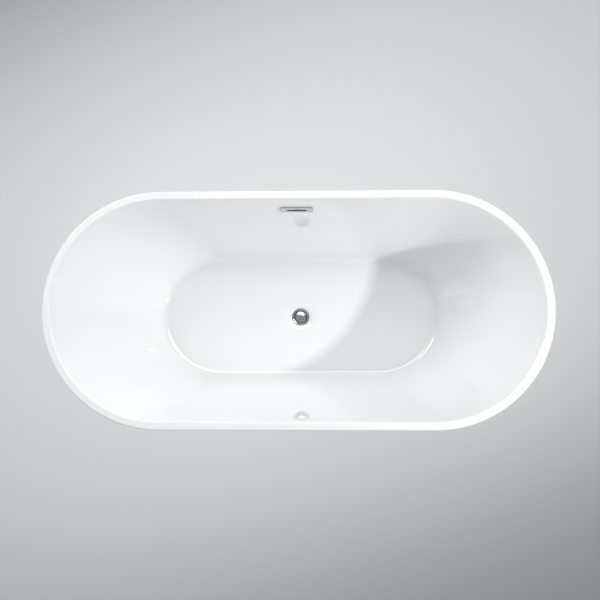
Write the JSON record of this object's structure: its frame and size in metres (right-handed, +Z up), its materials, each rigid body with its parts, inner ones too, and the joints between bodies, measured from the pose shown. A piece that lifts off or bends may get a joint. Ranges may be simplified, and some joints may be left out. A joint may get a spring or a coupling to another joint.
{
  "type": "freestanding bathtub",
  "caption": "Double-ended freestanding bathtub with round ends, a slim flat rim, a press-to-close waste, a slotted overflow and levelling feet.",
  "frame": {"origin": "on the floor, under the middle of the bath", "axes": "+Z up, +X along the bath, +Y towards the side with the overflow"},
  "size_m": [1.7, 0.795, 0.58],
  "materials": {
    "acrylic": "high-gloss white acrylic sheet, backed with glass fibre",
    "adhesive": "cured adhesive",
    "plywood": "sealed birch plywood",
    "painted_steel": "dark grey powder coat",
    "zinc": "zinc plated",
    "rubber": "matte black",
    "chrome": "polished chrome",
    "white_plastic": "satin white",
    "black_plastic": "satin black"
  },
  "bodies": {
    "root": {"basin": "acrylic", "skirt": "acrylic", "rim_bond": "adhesive", "base_board": "plywood", "rail_front": "painted_steel", "rail_back": "painted_steel", "crossbar_left": "painted_steel", "crossbar_right": "painted_steel", "brace_left": "painted_steel", "brace_right": "painted_steel", "tube_caps": "black_plastic", "frame_screws": "zinc", "skirt_bracket_1": "zinc", "skirt_bracket_2": "zinc", "skirt_bracket_3": "zinc", "skirt_bracket_4": "zinc", "bracket_screws": "zinc", "bracket_bolts": "zinc", "bracket_nuts": "zinc", "weld_nuts": "zinc", "lock_nuts": "zinc", "drain_flange": "chrome", "drain_seal_top": "rubber", "drain_seal_bottom": "rubber", "waste_tee": "white_plastic", "tailpiece": "chrome", "tailpiece_washer": "rubber", "tailpiece_nut": "white_plastic", "plug_spring": "zinc", "plug_sleeve": "chrome", "overflow_plate": "chrome", "overflow_seal": "rubber", "overflow_gasket": "rubber", "overflow_box": "white_plastic", "overflow_nuts": "zinc", "overflow_hose": "white_plastic", "hose_clamp_top": "zinc", "hose_clamp_bottom": "zinc"},
    "plug": {"plug_cap": "chrome", "plug_seal": "rubber", "plug_stem": "chrome"},
    "foot_1": {"foot_pad_1": "rubber"},
    "stud_1": {"foot_stud_1": "zinc"},
    "foot_2": {"foot_pad_2": "rubber"},
    "stud_2": {"foot_stud_2": "zinc"},
    "foot_3": {"foot_pad_3": "rubber"},
    "stud_3": {"foot_stud_3": "zinc"},
    "foot_4": {"foot_pad_4": "rubber"},
    "stud_4": {"foot_stud_4": "zinc"}
  },
  "joints": [
    {"name": "plug_press", "type": "slide", "parent": "root", "child": "plug", "axis": [0, 0, 1], "range_m": [-0.009, 0], "stiffness_N_per_m": 150, "springref_m": 0.02, "deforming": ["plug_spring"]},
    {"name": "foot_1_height", "type": "slide", "parent": "root", "child": "foot_1", "axis": [0, 0, 1], "range_m": [-0.02, 0.004]},
    {"name": "foot_1_turn", "type": "hinge", "parent": "foot_1", "child": "stud_1", "pos_m": [0.44, 0.1835, 0], "axis": [0, 0, 1], "range_deg": [-4114.79, 823.36]},
    {"name": "foot_2_height", "type": "slide", "parent": "root", "child": "foot_2", "axis": [0, 0, 1], "range_m": [-0.02, 0.004]},
    {"name": "foot_2_turn", "type": "hinge", "parent": "foot_2", "child": "stud_2", "pos_m": [-0.44, 0.1835, 0], "axis": [0, 0, 1], "range_deg": [-4114.79, 823.36]},
    {"name": "foot_3_height", "type": "slide", "parent": "root", "child": "foot_3", "axis": [0, 0, 1], "range_m": [-0.02, 0.004]},
    {"name": "foot_3_turn", "type": "hinge", "parent": "foot_3", "child": "stud_3", "pos_m": [-0.44, -0.1835, 0], "axis": [0, 0, 1], "range_deg": [-4114.79, 823.36]},
    {"name": "foot_4_height", "type": "slide", "parent": "root", "child": "foot_4", "axis": [0, 0, 1], "range_m": [-0.02, 0.004]},
    {"name": "foot_4_turn", "type": "hinge", "parent": "foot_4", "child": "stud_4", "pos_m": [0.44, -0.1835, 0], "axis": [0, 0, 1], "range_deg": [-4114.79, 823.36]}
  ],
  "couplings": [
    {"joint": "foot_1_turn", "follows": "foot_1_height", "rad_per_m": 3590.4},
    {"joint": "foot_2_turn", "follows": "foot_2_height", "rad_per_m": 3590.4},
    {"joint": "foot_3_turn", "follows": "foot_3_height", "rad_per_m": 3590.4},
    {"joint": "foot_4_turn", "follows": "foot_4_height", "rad_per_m": 3590.4}
  ]
}
